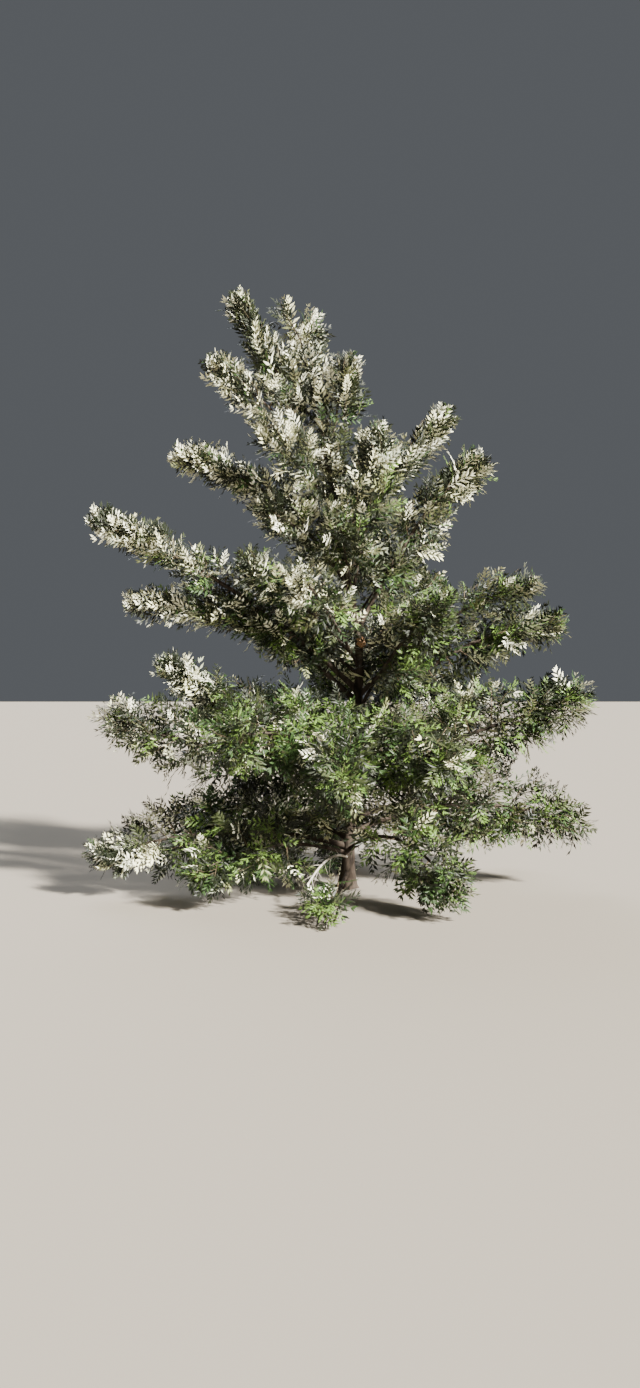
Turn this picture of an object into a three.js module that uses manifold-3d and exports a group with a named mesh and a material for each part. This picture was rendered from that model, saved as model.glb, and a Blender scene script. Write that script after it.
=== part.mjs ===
// A young silky oak that stands alone in a field: one leaning trunk, upswept boughs and masses of ferny
// leaves. Millimetres, +Z up, -Y towards the viewer, origin at the middle of the flat cut under the trunk.
import * as THREE from "three";
import { mergeVertices } from "three/addons/utils/BufferGeometryUtils.js";
import Module from "manifold-3d";

const wasm = await Module();
wasm.setup();

const UP = new THREE.Vector3(0, 0, 1);
const GOLDEN_ANGLE = THREE.MathUtils.degToRad(137.508);
const COLOURS = { bark: 0x5a4a3c, dead: 0xa59a8c, green: 0x5f7d3c, silver: 0xa9ab8c };

// The trunk: its line from just under the cut at the ground to the tip, and its girth
const TRUNK_LINE = [
  [-2, 0, -40],
  [30, 0, 600],
  [90, 10, 1500],
  [95, 15, 1940],
  [-20, 20, 2620],
  [-230, 10, 3750],
  [-375, 0, 4400],
];
const TRUNK_TOP = 4400;
const TRUNK_RADIUS = 50; // above the flare
const TRUNK_TIP_RADIUS = 6;
const TRUNK_TAPER = 0.9; // power of the way down from the tip
const FLARE = 34; // what the root flare adds at the cut
const FLARE_HEIGHT = 95; // over which it dies away
const FLARE_RIBS = 4;
const RIB_DEPTH = 0.14; // share of the radius at the cut
const TRUNK_SIDES = 12;
const TRUNK_RINGS = 15;

// Limbs: girth, and the swollen collar where one leaves the trunk
const LIMB_GIRTH = 0.0105; // root radius per millimetre of length
const LIMB_SHARE = 0.6; // most of the trunk's own radius that a limb has at its root
const LIMB_TIP_RADIUS = 8; // at most
const LIMB_TIP_SHARE = 0.7; // of the root radius, at most
const LIMB_TAPER = 0.85; // power of the way back from the tip
const COLLAR = 0.5; // what the collar adds, as a share of the root radius
const COLLAR_LENGTH = 60;
const BOUGH_SIDES = 6;
const BOUGH_RINGS = 4;
const JOINT_GAP = 0.4; // between a limb and what carries it

// Masses: twigs that fork from one stem, and leaves that each stand for a spray
const STEM_SIDES = 3;
const STEM_RINGS = 4;
const END_LEAF = 330; // from the end of a mass's stem to the limb's tip
const SHORT_STEM = 0.45; // share of a short limb where its stem ends
const TWIG_SPACING = 254; // along the leafy part of a stem
const TWIG_SHARE = 0.42; // of its stem's radius
const TWIG_ANGLE = [100, 40]; // degrees between the stem and a twig, at the leafy part's foot and its end
const TWIG_RISE = 0.12; // how far a twig turns up, as a share of its direction
const BARE_TWIG = 0.26; // share of a twig before its end leaf
const SIDE_LEAVES = [0.3, 0.9]; // where they grow, along the bare part of a twig
const LEAF_ANGLE = 50; // degrees between a twig and its side leaves
const LEAF_LENGTH = [150, 460]; // least and most
const TRIES = 6; // sides tried for each twig and leaf
// A leaf's outline between root and tip: share of its length, half width and keel depth per length
const LEAF_OUTLINE = [
  [0.28, 0.36, 0.04],
  [0.68, 0.3, 0.05],
];
const LEAF_ROOT = 0.4; // radius of its blunt root inside the twig, as a share of the twig's
const WILDNESS = 0.9; // how much of the way a leaf faces is random
const TAPER = 0.42; // what a mass loses of its spread by its tip
const SPACE_POINTS = 12; // along the middle of a mass's space
const ROOM_STEPS = 12; // lengths tried for each leaf
const PROBES = [0.7, 1]; // shares of a leaf's length that must lie in its space
const REACH = 1.5; // how far leaves go in their space, as a share of its radius
const CLEARANCE = 1.5; // between a leaf and any limb or other mass
const GROUND_CLEARANCE = 8;

// name, height on the trunk, bearing from +X, distance out, tip height, arch, bare share, spread
const LIMBS = [
  ["arm_left", 1570, -176, 2010, 2935, 0.06, 0.2, 185],
  ["low_arm_left", 1470, 176, 1790, 2265, 0.14, 0.18, 180],
  ["skirt_left", 900, -169, 1920, 1390, -0.03, 0.26, 335],
  ["skirt_left_high", 1150, -173, 1510, 1770, -0.02, 0.26, 205],
  ["ground_left", 330, -167, 1985, 300, 0.08, 0.3, 330],
  ["arm_right_mid", 1530, -8, 1500, 2410, 0.1, 0.2, 205],
  ["arm_right", 1250, 5, 1760, 2120, 0.12, 0.22, 250],
  ["skirt_right", 800, -5, 1900, 1500, 0.04, 0.26, 345],
  ["low_arm_right", 430, -1, 1900, 460, 0.12, 0.34, 330],
  ["front_right", 1400, -47, 1020, 2235, 0.08, 0.2, 300],
  ["front_skirt_left", 1050, -129, 1485, 1230, 0.07, 0.24, 340],
  ["front_skirt", 700, -94, 1505, 1000, 0.1, 0.22, 340],
  ["front_skirt_right", 950, -61, 1435, 1050, 0.08, 0.22, 340],
  ["ground_front_left", 270, -139, 1540, 240, 0.1, 0.34, 300],
  ["ground_front", 130, -97, 1590, 40, 0, 0.6, 180],
  ["ground_front_right", 300, -62, 1590, 140, 0.16, 0.42, 280],
  ["back_left", 1000, 139, 1740, 1380, 0.06, 0.25, 330],
].map(limbOf);

// The same columns, for the masses whose stems grow straight from the trunk
const LEADERS = [
  ["side_left", 2400, 172, 1380, 3480, 0.15, 0.16, 210],
  ["mid_left", 2550, -160, 720, 3010, 0.05, 0.16, 240],
  ["inner_left", 1800, -163, 875, 2590, 0.05, 0.16, 260],
  ["crown_left", 3300, -168, 1110, 4115, 0.08, 0.12, 195],
  ["leader_left", 3700, -176, 915, 4745, -0.07, 0.06, 170],
  ["leader_top", 4380, 180, 540, 4680, 0, 0.02, 200],
  ["leader_right", 3850, 140, 400, 4550, 0.02, 0.1, 180],
  ["crown_right", 3350, -92, 330, 4160, 0.02, 0.1, 210],
  ["arm_right_top", 2650, 16, 895, 3850, 0.06, 0.14, 170],
  ["arm_right_high", 2050, -7, 1070, 3370, 0.12, 0.2, 220],
  ["mid_right", 2150, 20, 640, 2830, 0.05, 0.2, 215],
  ["front_crown", 3000, -146, 795, 3625, 0.03, 0.14, 240],
  ["front_high", 2300, -60, 520, 3540, 0.05, 0.14, 260],
  ["front_mid", 2200, -100, 560, 2950, 0.05, 0.4, 220],
  ["front_plume", 1750, -116, 835, 2415, 0.05, 0.48, 230],
  ["back_crown", 3000, 105, 515, 3500, 0.03, 0.14, 250],
  ["back_high", 2250, 95, 760, 3000, 0.05, 0.26, 260],
  ["back_left_high", 1700, 145, 1155, 2420, 0.03, 0.2, 275],
  ["back_right_high", 1800, 47, 1200, 2520, 0.05, 0.22, 260],
  ["back", 1200, 91, 1450, 1870, 0.08, 0.24, 340],
  ["back_right", 850, 44, 1730, 1495, 0.06, 0.24, 340],
  ["ground_back_left", 390, 141, 1810, 370, 0.1, 0.26, 320],
  ["ground_back", 220, 97, 1500, 260, 0.1, 0.26, 310],
  ["ground_back_right", 540, 39, 1830, 330, 0.1, 0.26, 320],
].map(limbOf);

const SILVER_ABOVE = 2300; // tip height from which a mass shows the silver undersides of its leaves

// The one dead limb, which arches out and down in front and still has its bare twigs
const DEAD_LIMB = limbOf(["dead_limb", 240, -110, 880, 180, 0.1, 0, 0]);
const DEAD_TWIG_SHARES = [0.35, 0.5, 0.65, 0.8, 0.92];
const DEAD_TWIG_ANGLE = 42; // degrees between the dead limb and a twig
const DEAD_TWIG_LENGTH = 90;
const DEAD_TWIG_RADIUS = [3, 1.5]; // at root and tip
const DEAD_TWIG_DROP = 0.3; // how far a dead twig turns down, as a share of its direction

function limbOf([name, from, bearing, out, top, arch, bare, spread]) {
  return { name, from, bearing, out, top, arch, bare, spread };
}

// Seeded numbers from 0 to 1, the same in every run
function seeded(seed) {
  let state = seed >>> 0;
  return () => {
    state = (state + 0x6d2b79f5) >>> 0;
    let t = Math.imul(state ^ (state >>> 15), state | 1);
    t ^= t + Math.imul(t ^ (t >>> 7), t | 61);
    return ((t ^ (t >>> 14)) >>> 0) / 2 ** 32;
  };
}

// The part of a vector that stands square to a direction, as a unit vector
function squareTo(direction, vector) {
  return vector.clone().addScaledVector(direction, -vector.dot(direction)).normalize();
}

const trunkCurve = new THREE.CatmullRomCurve3(TRUNK_LINE.map((p) => new THREE.Vector3(...p)));

// The point of the trunk's line at a height, by halving
function trunkAt(height) {
  let low = 0;
  let high = 1;
  for (let i = 0; i < 30; i++) {
    const middle = (low + high) / 2;
    if (trunkCurve.getPoint(middle).z < height) low = middle;
    else high = middle;
  }
  return trunkCurve.getPoint(low);
}

function trunkRadius(height) {
  const taper = (1 - Math.min(height / TRUNK_TOP, 1)) ** TRUNK_TAPER;
  const plain = TRUNK_TIP_RADIUS + (TRUNK_RADIUS - TRUNK_TIP_RADIUS) * taper;
  return plain + FLARE * Math.exp(-height / FLARE_HEIGHT);
}

// A limb's line: a bow from the trunk's middle to the tip, lifted half way by its arch
function limbCurve({ from, bearing, out, top, arch }) {
  const root = trunkAt(from);
  const turn = THREE.MathUtils.degToRad(bearing);
  const tip = new THREE.Vector3(out * Math.cos(turn), out * Math.sin(turn), top);
  const middle = root.clone().lerp(tip, 0.5);
  middle.z += 2 * arch * root.distanceTo(tip);
  return new THREE.QuadraticBezierCurve3(root, middle, tip);
}

// The stretch of a bow from share a to share b
function stretch({ v0, v1, v2 }, a, b) {
  const at = (s, t) => v0.clone().lerp(v1, s).lerp(v1.clone().lerp(v2, s), t);
  return new THREE.QuadraticBezierCurve3(at(a, a), at(a, b), at(b, b));
}

// A limb's radius by its share of the way to the tip
function limbRadius(limb, curve) {
  const length = curve.getLength();
  const root = Math.min(LIMB_GIRTH * length, LIMB_SHARE * trunkRadius(limb.from));
  const tip = Math.min(LIMB_TIP_RADIUS, LIMB_TIP_SHARE * root);
  return (share) => {
    const collar = COLLAR * root * Math.exp((-share * length) / COLLAR_LENGTH);
    return tip + (root - tip) * (1 - share) ** LIMB_TAPER + collar;
  };
}

// A three.js geometry whose vertices are set anew, as a closed solid
function solidOf(geometry, place) {
  const position = geometry.getAttribute("position");
  for (let i = 0; i < position.count; i++) {
    const point = place(position.getX(i), position.getY(i) + 0.5, position.getZ(i));
    position.setXYZ(i, point.x, point.y, point.z);
  }
  geometry.deleteAttribute("normal");
  geometry.deleteAttribute("uv");
  const merged = mergeVertices(geometry, 1e-3);
  const mesh = new wasm.Mesh({
    numProp: 3,
    vertProperties: new Float32Array(merged.getAttribute("position").array),
    triVerts: new Uint32Array(merged.index.array),
  });
  return new wasm.Manifold(mesh);
}

// A tapering tube along a curve, with flat ends; grow makes it larger all round, ends too
function tube(curve, radiusAt, sides, rings, grow = 0) {
  const frames = curve.computeFrenetFrames(rings);
  return solidOf(new THREE.CylinderGeometry(1, 1, 1, sides, rings), (across, share, deep) => {
    const ring = Math.round(share * rings);
    const radius = radiusAt(share, Math.atan2(deep, across)) + grow;
    const end = { 0: -grow, [rings]: grow }[ring] ?? 0;
    return curve
      .getPointAt(share)
      .addScaledVector(frames.normals[ring], across * radius)
      .addScaledVector(frames.binormals[ring], -deep * radius)
      .addScaledVector(frames.tangents[ring], end);
  });
}

// The trunk, ribbed where its roots start, down to the flat cut at the ground
function trunkSolid(grow = 0) {
  const radiusAt = (share, angle) => {
    const { z } = trunkCurve.getPointAt(share);
    const fade = Math.exp(-z / FLARE_HEIGHT);
    return trunkRadius(z) * (1 + RIB_DEPTH * fade * Math.cos(FLARE_RIBS * angle));
  };
  return tube(trunkCurve, radiusAt, TRUNK_SIDES, TRUNK_RINGS, grow).trimByPlane([0, 0, 1], 0);
}

// A limb's own tube between two shares of its line, cut clear of the trunk where it starts there
function limbTube(limb, start, end, sides, rings) {
  const whole = limbCurve(limb);
  const radiusAt = limbRadius(limb, whole);
  const curve = stretch(whole, start, end);
  const solid = tube(curve, (share) => radiusAt(start + share * (end - start)), sides, rings);
  return start === 0 ? largest(solid.subtract(grownTrunk)) : solid;
}

// The largest body of a solid, with no loose scrap and no sealed hollow
function largest(solid) {
  const bodies = solid.decompose();
  return bodies.reduce((best, body) => (body.volume() > best.volume() ? body : best));
}

// The space of a mass: balls along the leafy part of its limb, smaller towards the tip
function spaceOf(limb) {
  const curve = limbCurve(limb);
  return Array.from({ length: SPACE_POINTS }, (_, i) => {
    const way = i / (SPACE_POINTS - 1);
    const end = 1 - ((1 - TAPER) * limb.spread) / curve.getLength();
    const centre = curve.getPoint(limb.bare + (end - limb.bare) * way);
    return { centre, radius: limb.spread * (1 - TAPER * way * way) };
  });
}

// How far out in a space a point lies: 0 on its middle line, 1 at its edge
function depthIn(space, point) {
  return Math.min(...space.map(({ centre, radius }) => centre.distanceTo(point) / radius));
}

// Whether a point lies in a mass's own space: near enough to it, nearer to no other, and off the ground
function inOwnSpace(mass, point) {
  const depth = depthIn(mass.space, point);
  if (depth > REACH || point.z < GROUND_CLEARANCE) return false;
  return masses.every((other) => other === mass || depthIn(other.space, point) > depth);
}

// The longest way, up to most, that a line can go from a point and stay in the mass's own space
function roomFor(mass, start, direction, most) {
  for (let i = ROOM_STEPS; i > 0; i--) {
    const length = (most * i) / ROOM_STEPS;
    const probes = PROBES.map((share) => start.clone().addScaledVector(direction, share * length));
    if (probes.every((point) => inOwnSpace(mass, point))) return length;
  }
  return 0;
}

// A keeled blade on a three-sided stalk, by rows from root to tip: place along it, half width and depth
function bladeSolid(root, direction, facing, rows) {
  const across = direction.clone().cross(facing);
  const last = rows.length - 1;
  return solidOf(new THREE.ConeGeometry(1, 1, 3, last), (x, share, z) => {
    const [along, wide, deep] = rows[Math.round(share * last)];
    const round = Math.max(1 - share, 1 / last);
    return root
      .clone()
      .addScaledVector(direction, along)
      .addScaledVector(across, (x / round / Math.sin(Math.PI / 3)) * wide)
      .addScaledVector(facing, (z / round) * deep);
  });
}

// The rows of a leaf that starts at a place along its stalk
function leafRows(start, length) {
  const rows = LEAF_OUTLINE.map(([way, wide, deep]) => [start + way * length, wide * length, deep * length]);
  return [...rows, [start + length, 0, 0]];
}

// A solid that can stand clear of every obstacle near it
function standsClear(solid, obstacles) {
  const box = solid.boundingBox();
  if (box.min[2] < GROUND_CLEARANCE) return false;
  const apart = (other) =>
    [0, 1, 2].some(
      (i) => other.box.min[i] > box.max[i] + CLEARANCE || other.box.max[i] < box.min[i] - CLEARANCE,
    );
  return obstacles.every((other) => apart(other) || other.solid.minGap(solid, CLEARANCE) >= CLEARANCE);
}

function obstacleOf(solid) {
  return { solid, box: solid.boundingBox() };
}

// The direction that leaves a line at an angle, on the side that a turn about the line gives
function forkFrom(direction, angle, turn) {
  const side = squareTo(direction, Math.abs(direction.z) > 0.9 ? new THREE.Vector3(1, 0, 0) : UP);
  const slant = THREE.MathUtils.degToRad(angle);
  return direction
    .clone()
    .multiplyScalar(Math.cos(slant))
    .addScaledVector(side.applyAxisAngle(direction, turn), Math.sin(slant));
}

// Which way a blade faces: mostly sideways, so that it hangs upright, and partly at random
function facingFor(direction, random) {
  const sideways = UP.clone().cross(direction).normalize();
  const wild = new THREE.Vector3(random() - 0.5, random() - 0.5, random() - 0.5);
  return squareTo(direction, sideways.addScaledVector(wild, WILDNESS));
}

// A twig that ends in a leaf, as one solid, and that leaf alone
function twigSolids({ start, direction, length, radius }, random) {
  const bare = BARE_TWIG * length;
  const rows = [[0, radius, radius], [bare, radius, radius], ...leafRows(bare, length - bare)];
  const facing = facingFor(direction, random);
  return [rows, rows.slice(1)].map((part) => bladeSolid(start, direction, facing, part));
}

// Ways to fork from a line at an angle, some turns apart, with the room that each has, roomiest first
function waysFrom(mass, root, line, angle, turn, most) {
  const ways = Array.from({ length: angle === 0 ? 1 : TRIES }, (_, i) => {
    const direction = forkFrom(line, angle, turn + (i * 2 * Math.PI) / TRIES);
    direction.addScaledVector(UP, TWIG_RISE).normalize();
    return { direction, room: roomFor(mass, root, direction, most) };
  });
  return ways.filter((way) => way.room >= LEAF_LENGTH[0]).sort((a, b) => b.room - a.room);
}

// The side leaves of one twig, each where there is most room and it touches nothing but its twig
function sideLeaves(mass, twig, obstacles, random) {
  const leaves = [];
  const rootRadius = LEAF_ROOT * twig.radius;
  for (const place of SIDE_LEAVES) {
    const root = twig.start.clone().addScaledVector(twig.direction, place * BARE_TWIG * twig.length);
    const turn = random() * 2 * Math.PI;
    const ways = waysFrom(mass, root, twig.direction, LEAF_ANGLE, turn, LEAF_LENGTH[1]);
    for (const { direction, room } of ways) {
      const rows = [[0, rootRadius, rootRadius], ...leafRows(0, room)];
      const leaf = bladeSolid(root, direction, facingFor(direction, random), rows);
      if (!standsClear(leaf, [...obstacles, ...leaves])) continue;
      leaves.push(obstacleOf(leaf));
      break;
    }
  }
  return leaves;
}

// One twig with its leaves, on the side of the stem where there is most room and it touches nothing
function twigPieces(mass, stem, near, random) {
  const most = LEAF_LENGTH[1] / (1 - BARE_TWIG);
  for (const { direction, room } of waysFrom(mass, stem.point, stem.tangent, stem.angle, stem.turn, most)) {
    const twig = { start: stem.point, direction, length: room, radius: TWIG_SHARE * stem.radius };
    const [solid, endLeaf] = twigSolids(twig, random);
    if (!standsClear(solid, near)) continue;
    return [obstacleOf(solid), ...sideLeaves(mass, twig, [...near, obstacleOf(endLeaf)], random)];
  }
  return [];
}

// The twigs and leaves along a mass's stem, each twig a golden angle round from the last
function massSolid(mass, seed, obstacles) {
  const random = seeded(seed);
  const whole = limbCurve(mass);
  const radiusAt = limbRadius(mass, whole);
  const leafy = mass.stemEnd - mass.bare;
  const count = Math.max(2, Math.round((leafy * whole.getLength()) / TWIG_SPACING));
  const grown = [];
  for (let i = 0; i <= count; i++) {
    const share = mass.bare + (leafy * i) / count;
    const stem = {
      point: whole.getPoint(share),
      tangent: whole.getTangent(share),
      radius: radiusAt(share),
      angle: i === count ? 0 : THREE.MathUtils.lerp(...TWIG_ANGLE, i / count),
      turn: i * GOLDEN_ANGLE + random(),
    };
    grown.push(...twigPieces(mass, stem, [...obstacles, ...grown], random));
  }
  return largest(wasm.Manifold.union([mass.stem, ...grown.map((piece) => piece.solid)]));
}

// The dead limb with its fine twigs, which hang from its far half
function deadLimbSolid() {
  const curve = limbCurve(DEAD_LIMB);
  const limb = limbTube(DEAD_LIMB, 0, 1, BOUGH_SIDES, BOUGH_RINGS);
  const radiusAt = (share) => THREE.MathUtils.lerp(...DEAD_TWIG_RADIUS, share);
  const twigs = DEAD_TWIG_SHARES.map((place, i) => {
    const start = curve.getPointAt(place);
    const way = forkFrom(curve.getTangentAt(place), DEAD_TWIG_ANGLE, i * GOLDEN_ANGLE);
    way.addScaledVector(UP, -DEAD_TWIG_DROP).normalize();
    const most = (start.z - GROUND_CLEARANCE) / Math.max(-way.z, 0.01);
    const tip = start.clone().addScaledVector(way, Math.min(DEAD_TWIG_LENGTH, most));
    return tube(new THREE.LineCurve3(start, tip), radiusAt, 3, 1);
  });
  return largest(wasm.Manifold.union([limb, ...twigs]));
}

function meshOf(name, solid, colour) {
  const { vertProperties, triVerts } = solid.getMesh();
  const geometry = new THREE.BufferGeometry();
  geometry.setAttribute("position", new THREE.BufferAttribute(vertProperties, 3));
  geometry.setIndex(new THREE.BufferAttribute(triVerts, 1));
  geometry.computeVertexNormals();
  const material = new THREE.MeshStandardMaterial({ color: colour, roughness: 0.85, metalness: 0 });
  const mesh = new THREE.Mesh(geometry, material);
  mesh.name = name;
  return mesh;
}

const grownTrunk = trunkSolid(JOINT_GAP);
const masses = [...LIMBS, ...LEADERS];
const tree = new THREE.Group();
const limbSolids = [];

function addLimb(name, solid, colour) {
  tree.add(meshOf(name, solid, colour));
  limbSolids.push(obstacleOf(solid));
}

addLimb("trunk", trunkSolid(), COLOURS.bark);
addLimb(DEAD_LIMB.name, deadLimbSolid(), COLOURS.dead);
for (const limb of LIMBS) {
  addLimb(`${limb.name}_bough`, limbTube(limb, 0, limb.bare, BOUGH_SIDES, BOUGH_RINGS), COLOURS.bark);
}
for (const mass of masses) {
  const length = limbCurve(mass).getLength();
  const start = LIMBS.includes(mass) ? mass.bare + JOINT_GAP / length : 0;
  mass.space = spaceOf(mass);
  mass.stemEnd = Math.max(1 - END_LEAF / length, SHORT_STEM);
  mass.stem = limbTube(mass, start, mass.stemEnd, STEM_SIDES, STEM_RINGS);
}

const finished = [];
masses.forEach((mass, i) => {
  const stems = masses.filter((other) => other !== mass).map((other) => obstacleOf(other.stem));
  const solid = massSolid(mass, i + 1, [...limbSolids, ...stems, ...finished]);
  finished.push(obstacleOf(solid));
  tree.add(meshOf(`${mass.name}_leaves`, solid, mass.top > SILVER_ABOVE ? COLOURS.silver : COLOURS.green));
});

export default tree;
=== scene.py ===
"""A young silky oak in leaf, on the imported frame: bark, twigs and ferny leaves that grow on by the rule of
the source. Metres, +Z up, -Y towards the viewer, origin at the middle of the flat cut under the trunk."""

import math

import bpy
import numpy as np
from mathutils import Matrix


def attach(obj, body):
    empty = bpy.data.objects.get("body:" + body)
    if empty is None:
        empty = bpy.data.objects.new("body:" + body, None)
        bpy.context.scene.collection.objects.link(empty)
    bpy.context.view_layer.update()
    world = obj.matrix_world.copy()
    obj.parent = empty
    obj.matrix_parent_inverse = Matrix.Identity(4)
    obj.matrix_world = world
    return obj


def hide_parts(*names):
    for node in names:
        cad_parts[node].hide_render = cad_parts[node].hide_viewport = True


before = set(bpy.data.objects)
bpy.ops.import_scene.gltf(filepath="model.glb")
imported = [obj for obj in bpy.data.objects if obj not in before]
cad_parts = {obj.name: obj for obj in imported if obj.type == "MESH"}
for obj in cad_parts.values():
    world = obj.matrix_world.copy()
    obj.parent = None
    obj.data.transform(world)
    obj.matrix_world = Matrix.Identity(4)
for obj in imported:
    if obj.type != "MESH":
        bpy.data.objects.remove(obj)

MM = 0.001
UP = np.array([0.0, 0.0, 1.0])
TINY = 1e-9
STEEP = 0.9  # how far up or down a line points before its side is taken from +X
GOLDEN_ANGLE = math.radians(137.508)
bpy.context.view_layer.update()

# The source's numbers: the trunk's line and the limbs in millimetres, the rest in metres and degrees
TRUNK_LINE = [
    [-2, 0, -40],
    [30, 0, 600],
    [90, 10, 1500],
    [95, 15, 1940],
    [-20, 20, 2620],
    [-230, 10, 3750],
    [-375, 0, 4400],
]
TRUNK_STEPS = 40  # between two of those points
TRUNK_TOP = 4.4
TRUNK_RADIUS = 0.05
TRUNK_TIP_RADIUS = 0.006
TRUNK_TAPER = 0.9
FLARE = 0.034
FLARE_HEIGHT = 0.095
FLARE_RIBS = 4
RIB_DEPTH = 0.14
LIMB_GIRTH = 0.0105  # radius of a limb's root for each metre of its length
LIMB_SHARE = 0.6  # most of that radius, as a share of the trunk's
LIMB_TIP_RADIUS = 0.008
LIMB_TIP_SHARE = 0.7  # most of the tip's radius, as a share of the root's
LIMB_TAPER = 0.85
LIMB_STEPS = 60  # in which a limb's length is measured
COLLAR = 0.5
COLLAR_LENGTH = 0.06
TWIG_ANGLE = (100, 40)  # degrees from the stem, at its foot and at its tip
TWIG_RISE = 0.12
TRIES = 6  # sides of a stem on which a twig looks for room
TAPER = 0.42  # how much narrower a mass's space is at its tip
SPACE_POINTS = 12
ROOM_STEPS = 12
PROBES = (0.7, 1.0)  # shares of a line's length that have to lie in the space

# name, height on the trunk, bearing from +X, distance out, tip height, arch, bare share, spread
LIMBS = [
    ("arm_left", 1570, -176, 2010, 2935, 0.06, 0.2, 185),
    ("low_arm_left", 1470, 176, 1790, 2265, 0.14, 0.18, 180),
    ("skirt_left", 900, -169, 1920, 1390, -0.03, 0.26, 335),
    ("skirt_left_high", 1150, -173, 1510, 1770, -0.02, 0.26, 205),
    ("ground_left", 330, -167, 1985, 300, 0.08, 0.3, 330),
    ("arm_right_mid", 1530, -8, 1500, 2410, 0.1, 0.2, 205),
    ("arm_right", 1250, 5, 1760, 2120, 0.12, 0.22, 250),
    ("skirt_right", 800, -5, 1900, 1500, 0.04, 0.26, 345),
    ("low_arm_right", 430, -1, 1900, 460, 0.12, 0.34, 330),
    ("front_right", 1400, -47, 1020, 2235, 0.08, 0.2, 300),
    ("front_skirt_left", 1050, -129, 1485, 1230, 0.07, 0.24, 340),
    ("front_skirt", 700, -94, 1505, 1000, 0.1, 0.22, 340),
    ("front_skirt_right", 950, -61, 1435, 1050, 0.08, 0.22, 340),
    ("ground_front_left", 270, -139, 1540, 240, 0.1, 0.34, 300),
    ("ground_front", 130, -97, 1590, 40, 0, 0.6, 180),
    ("ground_front_right", 300, -62, 1590, 140, 0.16, 0.42, 280),
    ("back_left", 1000, 139, 1740, 1380, 0.06, 0.25, 330),
]

# The same columns, for the masses whose stems grow straight from the trunk
LEADERS = [
    ("side_left", 2400, 172, 1380, 3480, 0.15, 0.16, 210),
    ("mid_left", 2550, -160, 720, 3010, 0.05, 0.16, 240),
    ("inner_left", 1800, -163, 875, 2590, 0.05, 0.16, 260),
    ("crown_left", 3300, -168, 1110, 4115, 0.08, 0.12, 195),
    ("leader_left", 3700, -176, 915, 4745, -0.07, 0.06, 170),
    ("leader_top", 4380, 180, 540, 4680, 0, 0.02, 200),
    ("leader_right", 3850, 140, 400, 4550, 0.02, 0.1, 180),
    ("crown_right", 3350, -92, 330, 4160, 0.02, 0.1, 210),
    ("arm_right_top", 2650, 16, 895, 3850, 0.06, 0.14, 170),
    ("arm_right_high", 2050, -7, 1070, 3370, 0.12, 0.2, 220),
    ("mid_right", 2150, 20, 640, 2830, 0.05, 0.2, 215),
    ("front_crown", 3000, -146, 795, 3625, 0.03, 0.14, 240),
    ("front_high", 2300, -60, 520, 3540, 0.05, 0.14, 260),
    ("front_mid", 2200, -100, 560, 2950, 0.05, 0.4, 220),
    ("front_plume", 1750, -116, 835, 2415, 0.05, 0.48, 230),
    ("back_crown", 3000, 105, 515, 3500, 0.03, 0.14, 250),
    ("back_high", 2250, 95, 760, 3000, 0.05, 0.26, 260),
    ("back_left_high", 1700, 145, 1155, 2420, 0.03, 0.2, 275),
    ("back_right_high", 1800, 47, 1200, 2520, 0.05, 0.22, 260),
    ("back", 1200, 91, 1450, 1870, 0.08, 0.24, 340),
    ("back_right", 850, 44, 1730, 1495, 0.06, 0.24, 340),
    ("ground_back_left", 390, 141, 1810, 370, 0.1, 0.26, 320),
    ("ground_back", 220, 97, 1500, 260, 0.1, 0.26, 310),
    ("ground_back_right", 540, 39, 1830, 330, 0.1, 0.26, 320),
]
DEAD_LIMB = ("dead_limb", 240, -110, 880, 180, 0.1, 0, 0)

# What the looks add: finer twigs
STEM_STOP = 0.16  # from the end of a stem to its limb's tip
LEAST_STEM = 0.45  # share of its limb that a stem always reaches
FEWEST = 2  # steps from twig to twig on a stem, and from leaf to leaf on a shoot
TWIG_SPACING = 0.06  # along the leafy part of a stem
TWIG_LENGTH = (0.1, 0.42)  # least and most
TWIG_REACH = 0.9  # how far twigs go in a mass's space, as a share of its radius
TWIG_RAGGED = (0.75, 1.15)  # share of that reach that a twig keeps to
TWIG_SWAY = 6  # degrees either way in a twig's angle
TWIG_BEND = (0, 0.16)  # how far a twig bends up, as a share of its length
TWIG_GIRTH = 0.5  # radius of a twig's foot, as a share of the wood it leaves
TWIG_TIP_GIRTH = 0.35  # radius of its tip, as a share of its foot
LEAST_RADII = (0.002, 0.0011)  # of a twig's foot and tip
FORK_PLACES = (0.3, 0.5, 0.7)  # of finer twigs along a twig
FORK_ANGLE = 46
FORK_LENGTH = (0.07, 0.24)
TWIG_BARE = 0.2  # share of a twig without leaves
FORK_BARE = 0.3
GROUND_CLEARANCE = 0.012

# How leaves stand on their twigs
LEAF_SPACING = 0.0185
LEAF_LENGTH = 0.215
LEAF_SIZES = (0.82, 1.15)  # shares of that length
LEAF_SMALLER = 0.4  # how much shorter leaves are at a shoot's tip
FORK_LEAVES = 0.92  # size of the leaves on forks, as a share of those on twigs
LEAF_REACH = 1.15  # how far leaves go in a mass's space, as a share of its radius
RAGGED = (0.8, 1.35)  # share of their reach that a shoot's leaves and a twig's forks keep to
LEAF_OPEN = 42  # degrees between a shoot and the leaves at its foot
LEAF_CLOSED = 15  # and at its tip
LEAF_END = 4  # and of the one leaf that ends it
LEAF_CLOSING = 1.4  # how late along a shoot its leaves close
LEAF_SWAY = 10  # degrees either way in a leaf's angle
GREEN_OPEN = 18  # degrees that green leaves open further
LEAF_FITS = ((1, 1), (0.6, 0.95), (0.6, 0.7))  # shares of angle and length, tried until the leaf fits
LEAF_LIFT = 0.20  # how much silver leaves rise
GREEN_SINKS = 1.6  # share of that rise that green leaves lose
LIFT_SWAY = 0.1  # either way in a leaf's rise
SILVER_UP = 0.15  # how far the upper side of silver leaves turns to the sky
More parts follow.
